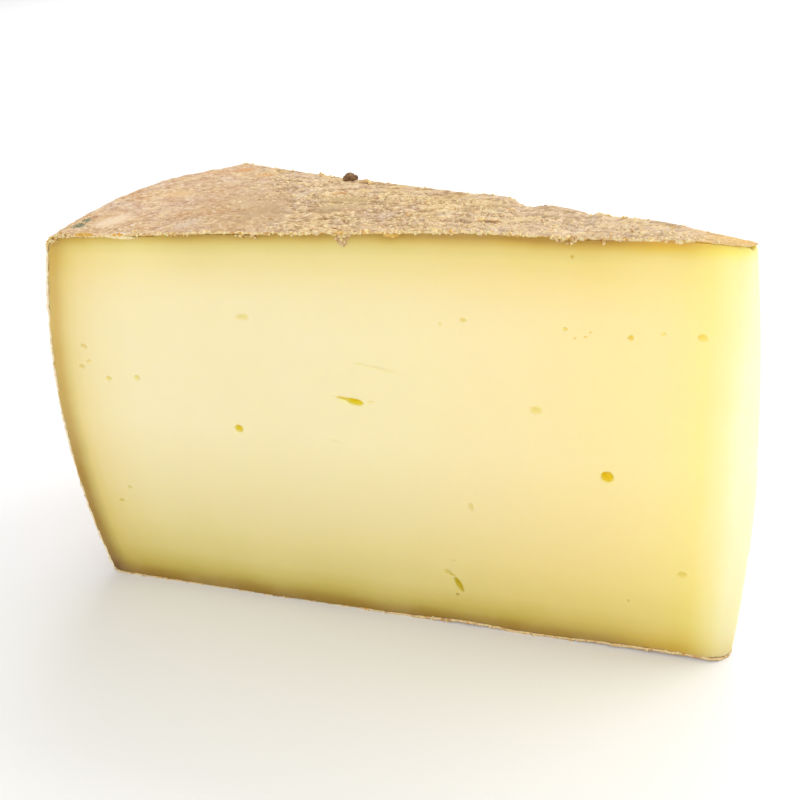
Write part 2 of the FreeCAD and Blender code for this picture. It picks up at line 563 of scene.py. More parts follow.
# ------------------------------------------------------------ paste
# Hollows of the shown cut, one a row, in millimetres: distance from the nose,
# height, length, width, depth and the angle by which the hollow falls
# towards the nose.
shown_hollows = [
    (87.7, 63.5, 3.2, 1.5, 0.3, -8), (92.1, 39.9, 1.8, 1.6, 1.2, 10), (68.9, 48.3, 4.2, 0.6, 0.8, 10),
    (67.2, 47.9, 3.5, 1.4, 1.5, 9), (64.1, 48.2, 1.5, 0.5, 0.2, -8), (61.6, 55.0, 7.6, 0.6, 0.10, 9),
    (65.5, 55.6, 2.6, 0.6, 0.10, 4), (72.0, 39.2, 4.6, 0.4, 0.07, 6), (33.6, 49.3, 2.5, 1.8, 0.33, 0),
    (21.25, 37.3, 2.35, 2.15, 1.7, 35), (51.3, 12.4, 1.6, 1.2, 0.35, 20), (49.2, 9.7, 3.7, 1.15, 1.2, 64),
    (50.5, 11.9, 1.8, 0.7, 0.4, 28), (49.9, 15.3, 0.9, 0.5, 0.15, 0),
    (49.6, 7.2, 0.9, 0.7, 0.4, 0), (45.9, 65.3, 1.3, 0.9, 0.35, 0), (24.5, 64.4, 0.6, 0.5, 0.2, 0),
    (28.6, 64.7, 0.9, 0.8, 0.3, 0), (18.0, 63.8, 1.15, 1.05, 0.5, 0), (6.9, 64.5, 1.7, 1.4, 0.4, 0),
    (12.9, 64.8, 1.0, 0.8, 0.2, 0), (27.5, 77.1, 0.7, 0.7, 0.3, 0), (46.0, 27.9, 2.0, 1.0, 0.25, 80),
    (123.8, 55.3, 1.5, 1.2, 0.3, 0), (125.4, 50.8, 1.3, 1.0, 0.3, 0), (123.4, 52.1, 1.1, 0.9, 0.2, 0),
    (123.2, 19.5, 1.3, 1.0, 0.3, 0), (120.4, 23.1, 1.3, 0.9, 0.25, 0), (119.6, 48.6, 1.5, 1.2, 0.3, 0),
    (113.0, 49.2, 1.6, 1.4, 0.35, 0), (16.9, 11.5, 0.8, 0.7, 0.25, 0), (7.7, 18.7, 1.9, 1.5, 0.35, 0),
    (27.0, 63.2, 0.6, 0.5, 0.2, 0), (50.0, 64.5, 0.7, 0.6, 0.2, 0), (25.2, 63.5, 0.7, 0.5, 0.2, 0),
]
# The same for the hidden cut.
hidden_hollows = [
    (30.0, 55.0, 2.4, 2.3, 1.5, 0), (52.1, 22.0, 5.4, 1.5, 1.4, 12), (74.0, 61.0, 2.0, 1.8, 1.3, 0),
    (88.1, 34.0, 3.2, 1.6, 0.8, -20), (112.0, 50.0, 2.2, 2.0, 1.4, 0), (40.0, 40.0, 9.0, 0.6, 0.2, 6),
    (64.0, 47.0, 1.2, 1.0, 0.4, 0), (96.0, 52.0, 1.0, 0.9, 0.3, 0), (20.0, 30.0, 1.1, 0.9, 0.4, 0),
    (101.0, 18.0, 1.3, 1.0, 0.4, 0), (58.0, 66.0, 0.9, 0.8, 0.3, 0), (80.0, 12.0, 1.2, 0.9, 0.3, 0),
]
# Where the hidden cut's distances start, beyond the meeting of the cuts.
hidden_start = 12.2 * MM
# A hollow no deeper than the first of these, in millimetres, is a dish; a
# deeper one has a soft lip round it, this much wider and this deep.
dish_depth = 0.5
lip_width = 0.9
lip_depth = 0.16
# How far out of the cut the middle of a hollow's ball lies, as a share of the ball.
dish_proud = 0.6
pit_proud = 0.15


def hollow_places():
    """Every hollow with its place, its direction along the cut and the way out of it."""
    nose = Vector((nose_start, low.y, 0.0))
    toward_rim = Vector((-1.0, 0.0, 0.0))
    rows = [(row, nose, toward_rim, shown_out) for row in shown_hollows]
    hidden_nose = cuts_meet + hidden_start * hidden_along
    rows += [(row, hidden_nose, hidden_along, hidden_out) for row in hidden_hollows]
    lips = [((*row[:2], row[2] + lip_width, row[3] + lip_width, lip_depth, row[5]), *rest)
            for row, *rest in rows if row[4] > dish_depth]
    for row, start, along, outward in rows + lips:
        yield row, start + along * row[0] * MM + Vector((0.0, 0.0, row[1] * MM)), along, outward


def hollow_cutters(material):
    """Balls flattened, drawn out and roughened, joined in sets of which none touch each other."""
    lot = random.Random(7)
    sets = []
    for (_, _, length, width, depth, tilt), place, along, outward in hollow_places():
        bpy.ops.object.select_all(action="DESELECT")
        bpy.ops.mesh.primitive_uv_sphere_add(segments=20, ring_count=12, radius=0.5)
        ball = bpy.context.object
        open_up(ball)
        bpy.ops.transform.vertex_random(offset=0.03, seed=lot.randrange(1000))
        close_up()
        proud = dish_proud if depth <= dish_depth else pit_proud
        wider = 1.0 / math.sqrt(1.0 - proud ** 2)
        half_depth = depth / (1.0 - proud)
        place = place + outward * proud * half_depth * MM
        size = Matrix.Diagonal((wider * length * MM, 2.0 * half_depth * MM, wider * width * MM, 1.0))
        lean = Matrix.Rotation(math.radians(-tilt), 4, "Y")
        turn = Matrix((along, -outward, Vector((0.0, 0.0, 1.0)))).transposed().to_4x4()
        ball.data.transform(Matrix.Translation(place) @ turn @ lean @ size)
        ball.data.materials.append(material)
        room = 0.65 * wider * length * MM
        home = next((s for s in sets if all((place - p).length > room + r for _, p, r in s)), None)
        if home is None:
            home = []
            sets.append(home)
        home.append((ball, place, room))
    made = []
    for number, members in enumerate(sets):
        cutters = join([ball for ball, _, _ in members], f"hollow_cutters_{number}")
        open_up(cutters)
        bpy.ops.mesh.normals_make_consistent(inside=False)
        close_up()
        made.append(cutters)
    return made


def fit_under_rind(piece):
    """Sinks the paste under the top rind; at the cuts it comes up to the rind, its edges squared."""
    bench = GeometryBench("paste under the rind")
    x, y, z = bench.parts(bench.place)
    to_hidden = bench.to_hidden(bench.place)
    inner = (bench.spread(y, low.y + 0.9 * MM, low.y + 2.4 * MM)
             * bench.spread(to_hidden, -0.9 * MM, -2.4 * MM))
    outer = (1.0 - inner) * paste_swell
    at_top = bench.spread(z, 0.94 * wheel_height, wheel_height - crown_drop)
    at_foot = bench.spread(z, 1.0 * MM, 0.2 * MM)
    swell = bench.spread(inner, 0.0, 1.0, paste_swell, -paste_sink, how="LINEAR")
    tip = bench.spread(x, high.x - 22.0 * MM, high.x - 8.0 * MM) * outer * 1.2
    up = at_top * (swell + tip) - at_foot * outer
    radial = bench.vector("NORMALIZE", bench.from_rim_axis(bench.place))
    aside = bench.reach_out(radial, bench.spread(x, low.x + 16.0 * MM, low.x + 9.0 * MM) * outer)

    before_nose = bench.maths("LESS_THAN", x, high.x - 5.5 * MM)
    near_shown = bench.maths("LESS_THAN", y - low.y, blunt)
    near_hidden = bench.maths("GREATER_THAN", to_hidden, -blunt)
    to_front = bench.combine(y=(low.y - y) * near_shown * before_nose)
    to_rear = bench.reach_out(tuple(hidden_out), to_hidden * near_hidden * -1.0)
    whole = bench.shift(bench.shift(aside, bench.shift(to_front, to_rear)), bench.combine(z=up))
    bench.run(bench.move(bench.start, whole), piece)


def make_paste(paste_material, hollow_material):
    piece = wedge_body("paste", paste_inset, 0.0)
    regrain(piece, paste_grain)
    shape_broadly(piece)
    fit_under_rind(piece)
    piece.data.materials.clear()
    piece.data.materials.append(paste_material)
    for cutters in hollow_cutters(hollow_material):
        modifier = piece.modifiers.new("eyes", "BOOLEAN")
        modifier.operation = "DIFFERENCE"
        modifier.solver = "MANIFOLD"
        modifier.material_mode = "TRANSFER"
        modifier.object = cutters
        apply_all(piece)
        drop(cutters)
    steady_order(piece)
    take(piece)
    bpy.ops.object.shade_smooth_by_angle(angle=math.radians(40.0))
    return piece


# ------------------------------------------------------------ rind
slit_middle = (22.8, -21.9)    # of the one deep crack in the top, in millimetres
slit_depth = 0.75 * MM
bark_start = -26.0 * MM        # the smooth skin turns to cracked bark between these
bark_full = -8.0 * MM
fray_reach = 1.1 * MM          # how far the rind's edge at a cut is frayed


def rind_relief(bench):
    """Offset and named values of the rind's surface, before it gets its thickness."""
    place = bench.place
    x, y, _ = bench.parts(place)
    on_top = bench.spread(bench.parts(bench.facing)[2], 0.3, 0.8)
    lean = x + (y - low.y) * 0.49
    wander = (bench.noise(place, 9.0 * MM, 2.0) - 0.5) * (22.0 * MM)
    cracked = bench.spread(lean + wander, bark_start, bark_full) * on_top
    patch = bench.spread(bench.noise(place, 11.0 * MM, 3.0, 0.6), 0.46, 0.62)
    crumbly = cracked * (1.0 - patch * 0.75)

    to_hidden = bench.to_hidden(place)
    calm = 1.0 - bench.spread(to_hidden, -7.0 * MM, -1.0 * MM) * 0.6
    drawn = bench.stretch(place, (0.4, 1.0, 1.0))
    from_slit = bench.shift(place, (-slit_middle[0] * MM, -slit_middle[1] * MM, 0.0))
    slit_away = bench.length(bench.stretch(from_slit, (0.3, 1.4, 0.0)))
    slit = bench.spread(slit_away, 0.7 * MM, 0.2 * MM) * on_top * -slit_depth
    lumpy = (bench.noise(drawn, 3.2 * MM, 3.0, 0.6) - 0.5) * (0.3 * MM + cracked * calm * (0.85 * MM))
    split = bench.maths("ABSOLUTE", bench.noise(drawn, 3.6 * MM, 4.0, 0.7, 0.6) - 0.5)
    cleft = bench.spread(split, 0.05, 0.0) * cracked * (-0.4 * MM)
    grain = bench.spread(bench.cells(bench.stretch(place, (0.7, 1.0, 1.0)), 0.85 * MM), 0.75, 0.05) - 0.5
    grain_rise = grain * crumbly * calm * (0.3 * MM)
    fine_rise = (bench.noise(place, 0.9 * MM, 3.0, 0.65) - 0.5) * (0.34 * MM + cracked * (0.12 * MM))
    dimple = bench.spread(bench.cells(bench.stretch(place, (1.0, 1.0, 1.6)), 2.2 * MM), 0.55, 0.2)
    skin_rise = dimple * (1.0 - cracked) * (0.10 * MM)
    total = lumpy + cleft + grain_rise + fine_rise + skin_rise + slit + cracked * (-0.1 * MM)

    from_shown = y - low.y
    tip = bench.spread(x, high.x - 19.0 * MM, high.x - 3.0 * MM)
    fray = bench.noise(place, 1.6 * MM, 2.0, 0.7) - 0.42
    front = fray * bench.spread(from_shown, fray_reach, 0.0) * -fray_reach * (1.0 - tip * 0.85)
    rear = fray * bench.spread(to_hidden, -fray_reach, 0.0) * fray_reach
    at_cut = bench.maths("MAXIMUM", bench.spread(from_shown, 2.0 * MM, 0.5 * MM),
                         bench.spread(to_hidden, -2.0 * MM, -0.5 * MM))
    total = bench.maths("MAXIMUM", total, bench.spread(at_cut, 0.0, 1.0, -0.75 * MM, -0.1 * MM))
    out = bench.reach_out(bench.facing, total * (1.0 - tip * 0.7))
    offset = bench.shift(bench.shift(out, bench.combine(y=front)), bench.reach_out(tuple(hidden_out), rear))
    return offset, {
        "lift": bench.spread(cleft + grain_rise + fine_rise + lumpy * 0.5, -0.4 * MM, 0.4 * MM, how="LINEAR"),
        "cracked": cracked,
        "crumbly": crumbly * bench.spread(to_hidden, -3.0 * MM, -6.0 * MM) * (1.0 - tip * 0.8),
        "inner": bench.spread(at_cut, 0.0, 1.0, 1.0, 0.2) * (1.0 - tip),
    }


def make_rind_skin():
    """The rind's whole outer surface, trimmed at the cuts, with its relief."""
    skin = wedge_body("rind_skin", 0.0, spare)
    regrain(skin, rind_grain)
    centres, _ = face_facts(skin)
    walls = np.zeros(len(centres), bool)
    for point, outward in cut_planes(spare - 0.6 * MM):
        walls |= (centres - np.array(point)) @ np.array(outward) > 0.0
    delete_faces(skin, walls)
    for point, outward in cut_planes(0.0):
        trim(skin, point, outward, False)
    shape_broadly(skin)
    bench = GeometryBench("relief of the rind")
    offset, values = rind_relief(bench)
    kept = bench.start
    for name, value in values.items():
        kept = bench.keep(kept, name, value)
    bench.run(bench.move(kept, offset), skin)
    return skin


def stand_on_floor(piece, least):
    """Whatever would pass under this height is pressed flat to it."""
    bench = GeometryBench("floor under " + piece.name)
    under = bench.maths("MAXIMUM", least - bench.parts(bench.place)[2], 0.0)
    bench.run(bench.move(bench.start, bench.combine(z=under)), piece)


def make_rind(rind_material):
    skin = make_rind_skin()
    skin.data.materials.clear()
    skin.data.materials.append(rind_material)
    centres, normals = face_facts(skin)
    below_edge = (normals[:, 2] > -0.6) & (centres[:, 2] < wheel_height - 5.5 * MM)
    side = split_off(skin, below_edge, "rind_side")
    centres, _ = face_facts(skin)
    base = split_off(skin, centres[:, 2] < 0.5 * wheel_height, "rind_base")
    skin.name = "rind_top"
    return [skin, side, base]


def thicken(piece, cut_material):
    """The sheet gets its thickness inwards; where that shows in a cut it has its own look."""
    piece.data.materials.append(cut_material)
    group = piece.vertex_groups.new(name="inner")
    values = np.zeros(len(piece.data.vertices), np.float32)
    piece.data.attributes["inner"].data.foreach_get("value", values)
    for level in range(5):
        near = np.flatnonzero(np.abs(values * 4.0 - level) <= 0.5)
        group.add([int(number) for number in near], level / 4.0, "REPLACE")
    modifier = piece.modifiers.new("thickness", "SOLIDIFY")
    modifier.thickness = rind_thick[piece.name]
    modifier.offset = -1.0
    modifier.use_rim = True
    modifier.material_offset_rim = 1
    if piece.name == "rind_top":
        modifier.vertex_group = "inner"
        modifier.thickness_vertex_group = rind_lip
    apply_all(piece)
    take(piece)
    bpy.ops.object.shade_smooth()


# ------------------------------------------------------------ crumbs
def crumb_shapes(material, stretch):
    """A few small lumps: a cut-up cube rounded off, drawn out and roughened."""
    shapes = bpy.data.collections.new("crumb_shapes")
    for number in range(5):
        bpy.ops.object.select_all(action="DESELECT")
        bpy.ops.mesh.primitive_cube_add(size=1.0)
        lump = bpy.context.object
        open_up(lump)
        bpy.ops.mesh.subdivide(number_cuts=1)
        bpy.ops.transform.tosphere(value=0.7)
        bpy.ops.transform.vertex_random(offset=0.2, seed=number + 3)
        bpy.ops.transform.resize(value=stretch, center_override=(0.0, 0.0, 0.0))
        close_up()
        lump.name = f"crumb_shape_{number}"
        lump.data.materials.append(material)
        bpy.ops.object.shade_smooth()
        for home in lump.users_collection:
            home.objects.unlink(lump)
        shapes.objects.link(lump)
    return shapes


def scatter(name, sheet, shapes, density, sizes, sink, tilt, seed, where):
    """Crumbs over a sheet, this many to the square metre where it says; sizes and sink in millimetres."""
    crumbs = copy_of(sheet, name)
    bench = GeometryBench("scatter " + name)
    spots = bench.node("GeometryNodeDistributePointsOnFaces", {
        "Mesh": bench.start, "Density": where(bench) * density, "Seed": seed,
    })
    down = -sink * MM
    inwards = bench.stretch(Wire(bench, spots.outputs["Normal"]), (down, down, down))
    lot = bench.add("GeometryNodeCollectionInfo", {
        0: shapes, "Separate Children": True, "Reset Children": True,
    })
    turn = bench.add("FunctionNodeRandomValue", {
        0: tuple(-angle for angle in tilt), 1: tilt, "Seed": seed + 1,
    }, data_type="FLOAT_VECTOR")
    share = bench.add("FunctionNodeRandomValue", {
        2: 0.0, 3: 1.0, "Seed": seed + 2,
    }, output=1, data_type="FLOAT")
    size = bench.spread(share * share, 0.0, 1.0, sizes[0] * MM, sizes[1] * MM, how="LINEAR")
    laid = bench.add("GeometryNodeInstanceOnPoints", {
        "Points": bench.move(Wire(bench, spots.outputs["Points"]), inwards), "Instance": lot,
        "Pick Instance": True, "Rotation": turn, "Scale": bench.combine(size, size, size),
    })
    bench.run(bench.add("GeometryNodeRealizeInstances", {0: laid}), crumbs)
    return crumbs


def cut_band(bench):
    """One where the sheet's own thickness shows in a cut, less by the nose, nothing elsewhere."""
    shown, hidden = [bench.spread(bench.dot(bench.facing, way), 0.6, 0.8) for way in (shown_out, hidden_out)]
    x = bench.parts(bench.place)[0]
    return (shown + hidden * 0.8) * bench.spread(x, high.x - 5.0 * MM, high.x - 15.0 * MM, 0.25, 1.0)


def rough_part(start, end):
    """The crumbly share, from nothing at one X to all of it at another, in millimetres."""
    return lambda bench: (bench.named("crumbly")
                          * bench.spread(bench.parts(bench.place)[0], start * MM, end * MM))


# Single lumps on the edge over the shown cut, one a row, in millimetres:
# distance from the nose, distance behind the cut, height, length, depth,
# tallness, lean in degrees and kind.
edge_lumps = [
    (110.5, 0.0, 78.0, 7.2, 0.5, 0.8, 2, "pale"), (118.0, 0.0, 78.2, 4.2, 0.7, 0.8, 0, "amber"),
    (61.9, 0.0, 80.3, 1.3, 0.9, 0.9, 0, "cream"), (49.9, 0.0, 80.7, 1.2, 0.9, 0.8, 10, "cream"),
    (57.6, 0.1, 79.8, 3.0, 0.6, 1.0, 0, "amber"), (22.6, -0.1, 79.7, 0.6, 0.5, 1.0, 0, "cream"),
    (11.2, -0.1, 80.0, 1.4, 0.6, 0.6, -8, "cream"), (15.4, -0.1, 80.3, 1.1, 0.6, 0.6, 12, "cream"),
]
# The same for lumps that lie on the top: place in X and Y, length, depth,
# tallness, lean and kind.
top_lumps = [
    (-14.8, 10.9, 2.3, 1.5, 1.9, 3, "dark"), (-13.6, 10.7, 1.4, 1.1, 1.4, -20, "dark"),
    (-15.8, 10.9, 1.2, 1.0, 1.3, 10, "dark"), (-22.8, 14.2, 0.6, 0.6, 1.2, 8, "tan"),
    (-10.4, 8.2, 1.6, 1.1, 0.9, -12, "tan"), (-9.3, 7.8, 1.0, 0.8, 0.8, 0, "cream"),
    (23.2, -21.1, 2.4, 0.9, 0.7, 4, "flake"), (21.4, -21.0, 1.4, 0.7, 0.6, 0, "cream"),
]
# Clusters of crumbs that hang over the shown cut: distance from the nose,
# height of the top, width there, width at the foot, drop, count and kinds.
clusters = [
    (66.4, 79.9, 3.6, 0.5, 2.1, 90, ("flake", "cream", "tan")),
    (28.4, 80.3, 5.2, 2.4, 1.0, 36, ("cream", "tan")), (106.6, 79.4, 1.1, 0.8, 1.9, 14, ("cream", "pale")),
    (122.6, 78.6, 3.6, 2.6, 1.0, 30, ("cream", "pale", "tan")),
    (125.0, 77.6, 2.0, 1.4, 1.2, 22, ("cream", "pale")),
    (98.0, 79.0, 5.0, 3.0, 0.5, 14, ("cream", "amber")),
    (84.0, 79.2, 6.0, 3.0, 0.5, 14, ("cream", "amber", "tan")),
]
# Patches of mould: middle in X and Y, width in X and in Y, and count of specks.
mould_patches = [(-57.3, -24.2, 0.9, 1.6, 40), (-57.7, -20.9, 0.8, 1.0, 26)]


def lump_at(place, size, lean, kind, lot, kinds):
    """A ball roughened and drawn out to its size; a flake is drawn in towards its foot."""
    bpy.ops.object.select_all(action="DESELECT")
    bpy.ops.mesh.primitive_ico_sphere_add(subdivisions=3, radius=0.5)
    lump = bpy.context.object
    open_up(lump)
    bpy.ops.transform.vertex_random(offset=0.09, seed=lot.randrange(1000))
    bpy.ops.mesh.vertices_smooth(factor=0.5, repeat=1)
    if kind == "dark":
        bpy.ops.transform.vertex_random(offset=0.05, seed=lot.randrange(1000))
    close_up()
    if kind == "flake":
        modifier = lump.modifiers.new("drawn in", "SIMPLE_DEFORM")
        modifier.deform_method = "TAPER"
        modifier.deform_axis = "Z"
        modifier.factor = 1.1
        apply_all(lump)
    turn = Matrix.Rotation(math.radians(lean), 4, "Y")
    lump.data.transform(Matrix.Translation(place) @ turn @ Matrix.Diagonal((*(Vector(size) * MM), 1.0)))
    lump.data.materials.append(kinds[kind])
    take(lump)
    bpy.ops.object.shade_smooth()
    return lump


def height_on(sheet, x, y):
    """The top rind's height over one place in plan."""
    hit, place, _, _ = sheet.ray_cast(Vector((x, y, 2.0 * wheel_height)), Vector((0.0, 0.0, -1.0)))
    return place.z if hit else wheel_height - crown_drop


def make_lumps(kinds, sheet):
    lot = random.Random(19)
    made = []
    for away, behind, height, length, depth, tall, lean, kind in edge_lumps:
        place = Vector((high.x - (nose_gap + away) * MM, low.y + behind * MM, height * MM))
        made.append(lump_at(place, (length, depth, tall), lean, kind, lot, kinds))
    for x, y, length, depth, tall, lean, kind in top_lumps:
        place = Vector((x * MM, y * MM, height_on(sheet, x * MM, y * MM) + 0.35 * tall * MM))
        made.append(lump_at(place, (length, depth, tall), lean, kind, lot, kinds))
    firsts = {kind: small_lump(kind, lot, kinds) for kind in ("cream", "flake", "pale", "amber", "tan")}
    for away, top, width, foot_width, fall, count, cluster_kinds in clusters:
        for _ in range(count):
            down = lot.random()
            aside = (lot.random() - 0.5) * (width + (foot_width - width) * down)
            place = Vector((high.x - (nose_gap + away + aside) * MM, low.y + lot.uniform(-0.25, 0.15) * MM,
                            (top - fall * down) * MM))
            size = lot.uniform(0.35, 0.8) * MM
            made.append(set_down(firsts[lot.choice(cluster_kinds)], place, lot.uniform(0.0, 6.28), size))
    for first in firsts.values():
        drop(first)
    return join(made, "rind_lumps")


def small_lump(kind, lot, kinds):
    """A lump one metre long with a few dozen faces, to be copied small."""
    first = lump_at(Vector((0.0, 0.0, 0.0)), (1000.0, 1000.0, 1000.0), 0, kind, lot, kinds)
    modifier = first.modifiers.new("fewer faces", "DECIMATE")
    modifier.ratio = 0.05
    apply_all(first)
    return first


def set_down(first, place, heading, size):
    """A copy of a small lump, turned and flattened, in its place."""
    speck = copy_of(first, "speck")
    turn = Matrix.Rotation(heading, 4, "Z") @ Matrix.Rotation(0.5 * heading, 4, "X")
    flattened = Matrix.Diagonal((size, 0.75 * size, 0.65 * size, 1.0))
    speck.data.transform(Matrix.Translation(place) @ turn @ flattened)
    return speck


def make_mould(kinds, sheet):
    """A few dozen soft specks in two patches by the rim."""
    lot = random.Random(5)
    first = small_lump("mould", lot, kinds)
    made = []
    for middle_x, middle_y, spread_x, spread_y, count in mould_patches:
        for _ in range(count):
            x = (middle_x + lot.gauss(0.0, 0.5) * spread_x) * MM
            y = (middle_y + lot.gauss(0.0, 0.5) * spread_y) * MM
            size = lot.uniform(0.25, 0.6) * MM
            place = Vector((x, y, height_on(sheet, x, y)))
            made.append(set_down(first, place, lot.uniform(0.0, 6.28), size))
    drop(first)
    return join(made, "mould_specks")


# ------------------------------------------------------------ materials


def rind_distances(bench):
    """How far a point of the paste lies under the top, inside the side and above the foot."""
    z = bench.parts(bench.place)[2]
    reach = bench.length(bench.from_rim_axis(bench.place))
    crown_fall = reach * reach * (0.5 / crown_radius)
    up_side = z - side_centre.y
    side_fall = bench.maths("SQRT", side_radius ** 2 - up_side * up_side)
    return (wheel_height - crown_fall) - z, (side_fall + side_centre.x) - reach, z


# How far the ramps below reach, in millimetres: the paste's colour from the nose, what the rind's ochre and
# the painted shadow and shade by it leave of it, and what an eye's depth leaves of it.
colour_run = 80.0
share_run = 40.0
eye_run = 1.5


def shares(rows):
    """Ramp stops from rows of millimetres, out of share_run, and the percentage left of each colour."""
    return [(place / share_run, (*[left / 100.0 for left in colour], 1.0)) for place, *colour in rows]


# The paste's colour from the nose to the middle; its near-white start at the very nose is a painted
# highlight.
along_cut = tones([
    (0.0, 254, 248, 206), (0.03, 253, 243, 180), (0.075, 252, 236, 152), (0.16, 251, 232, 162),
    (0.29, 249, 229, 165), (0.5, 246, 228, 172), (0.72, 243, 229, 179), (1.0, 242, 229, 183),
])
# What is left of that colour close to the rind: under the top, behind the side (high up and low down) and
# above the foot. Partly this is the paste's own ochre by the rind; the darkest amber just under the top is
# painted shadow of the rind's lip and crumbs, and the deeper darkening low down is partly painted shade.
below_top = shares([
    (0.0, 45, 28, 4), (0.6, 49, 32, 6), (1.25, 64, 49, 16), (1.7, 71, 60, 25), (2.3, 79, 71, 38.5),
    (3.1, 82, 78, 48), (4.2, 89, 84.5, 57.5), (8.5, 96.5, 93, 78.5), (13.0, 99, 98, 95),
    (20.0, 100, 100, 100),
])
below_top_by_rim = shares([
    (0.0, 60, 42, 10), (1.1, 74, 60, 22), (2.2, 86, 80, 48), (4.0, 94.5, 90, 64), (8.5, 99, 95.5, 83),
    (13.0, 100, 99, 96), (20.0, 100, 100, 100),
])
below_top_by_nose = shares([
    (0.0, 70, 42, 5), (0.7, 75, 51, 9), (1.1, 78, 60, 13), (1.5, 81, 68, 22), (2.0, 84, 75, 40),
    (2.8, 89, 83, 60), (4.0, 92.5, 88.5, 71.5), (8.5, 98.5, 96, 86), (13.0, 100, 99, 96),
    (20.0, 100, 100, 100),
])
below_top_at_tip = shares([
    (0.0, 95, 78, 22), (0.95, 100, 93, 38), (1.7, 100, 98, 57), (2.4, 100, 98.5, 75), (3.2, 100, 99, 85),
    (8.0, 100, 100, 93), (20.0, 100, 100, 100),
])
behind_side_high = shares([
    (0.0, 82, 66, 34), (0.7, 74, 55.5, 22.5), (1.4, 71.5, 53.5, 20.5), (2.0, 71, 54.5, 22),
    (3.6, 82, 73, 43), (5.0, 88.5, 82, 57.5), (7.0, 94, 89.5, 73), (11.0, 98, 95.5, 88),
    (18.0, 100, 100, 100),
])
# Low down the side darkens more: partly the paste's own ochre by the rind, partly painted shade on the lower
# face.
behind_side_low = shares([
    (0.0, 60, 44, 16), (0.7, 43, 26.5, 4), (1.4, 43, 27, 5), (1.9, 47, 33, 9), (2.6, 57.5, 46, 18),
    (3.6, 69, 62, 32), (4.8, 86.5, 79, 50), (7.0, 93, 88, 69), (11.0, 98, 95, 86), (18.0, 100, 100, 100),
])
# Darkening over the lowest 40 millimetres: partly the paste's own ochre by the foot's rind, partly painted
# shade on the lower face.
above_foot = shares([
    (0.0, 34, 22, 4), (0.9, 36, 23.5, 4.2), (2.1, 43, 32.5, 7.5), (3.6, 57, 50, 16), (5.3, 67, 62, 26.5),
    (8.5, 77, 74, 43.5), (16.0, 86.5, 84, 62), (24.0, 92, 90.5, 79), (33.0, 97, 96, 91),
    (40.0, 100, 100, 100),
])
above_foot_by_nose = shares([
    (0.0, 56, 34, 3), (1.0, 58.5, 38, 4), (2.5, 61, 47.5, 9), (3.7, 66, 56.5, 18), (5.2, 72, 64, 34),
    (8.0, 77.5, 74.5, 48), (16.0, 87, 84.5, 66), (24.0, 93, 91.5, 81), (33.0, 97.5, 96.5, 92),
    (40.0, 100, 100, 100),
])


def paste_colour(bench):
    """Palest inside, darkening to ochre towards the rind, with painted shadow just under the top rind and
    painted shade low down, yellower by the nose and near white at its tip as a painted highlight.
    """
    x, _, z = bench.parts(bench.place)
    along = bench.spread(x, low.x, high.x, how="LINEAR")
    raised = bench.maths("MAXIMUM", bench.line(along, front_edge_line) * edge_step, 0.0)
    drift = (bench.noise(bench.place, 9.0 * MM, 2.0) - 0.5) * (2.0 * MM)
    mottle = bench.noise(bench.place, 16.0 * MM, 4.0, 0.6)
    from_nose = nose_start - x
    body = bench.ramp(bench.spread(from_nose + drift, 0.0, colour_run * MM, how="LINEAR"), along_cut)
    under_top, inside_rim, above_floor = rind_distances(bench)
    under_top = under_top + raised * bench.spread(from_nose, 22.0 * MM, 34.0 * MM, 0.75, 0.45)
    top, side, foot = [bench.spread(distance + drift * 0.5, 0.0, share_run * MM, how="LINEAR")
                       for distance in (under_top, inside_rim, above_floor)]
    # Under the top: the dark amber right under the rind is painted shadow of its lip and crumbs; the broader
    # ochre fade is partly the paste's own.
    left = bench.ramp(top, below_top)
    for start, end, stops in (
        (96.0, 107.0, below_top_by_rim), (24.0, 13.0, below_top_by_nose), (11.0, 3.0, below_top_at_tip),
    ):
        left = bench.mix(bench.spread(from_nose, start * MM, end * MM), left, bench.ramp(top, stops))
    body = bench.mix(1.0, body, left, how="MULTIPLY")
    # Darker behind the side low down and over a broad band above the foot: partly ochre by the rind, partly
    # painted shade.
    left = bench.mix(bench.spread(z, 66.0 * MM, 12.0 * MM),
                     bench.ramp(side, behind_side_high), bench.ramp(side, behind_side_low))
    body = bench.mix(1.0, body, left, how="MULTIPLY")
    left = bench.mix(bench.spread(from_nose, 24.0 * MM, 7.0 * MM),
                     bench.ramp(foot, above_foot), bench.ramp(foot, above_foot_by_nose))
    body = bench.mix(bench.spread(from_nose, 0.0, 9.0 * MM, 0.6, 1.0), body, left, how="MULTIPLY")
    return bench.mix(bench.spread(mottle, 0.35, 0.65, 0.0, 0.12), body, paint(238, 220, 162))


def paste_material():
    bench = LookBench("cheese paste")
    grain = bench.noise(bench.place, 1.4 * MM, 4.0, 0.6)
    smear = bench.noise(bench.stretch(bench.place, (0.3, 1.0, 1.0)), 5.0 * MM, 3.0, 0.55)
    return bench.finish({
        "Base Color": paste_colour(bench), "Roughness": bench.spread(grain, 0.3, 0.7, 0.42, 0.58),
        "Normal": bench.bump(grain * 0.5 + smear, 0.25, 0.25 * MM), "Specular IOR Level": 0.35,
        "Subsurface Weight": 0.35, "Subsurface Scale": 0.004, "Subsurface Radius": (1.0, 0.75, 0.3),
    })


# What an eye's depth leaves of the paste's colour; the strong yellow deep in is partly painted glow, standing
# in for light that shines through the paste and bounces inside the hollow.
eye_depths = [
    (0.0, (1.0, 1.0, 1.0, 1.0)), (0.07, (0.985, 0.99, 0.88, 1.0)), (0.2, (0.93, 0.945, 0.58, 1.0)),
    (0.4, (0.97, 0.96, 0.25, 1.0)), (0.75, (1.0, 0.97, 0.05, 1.0)),
]


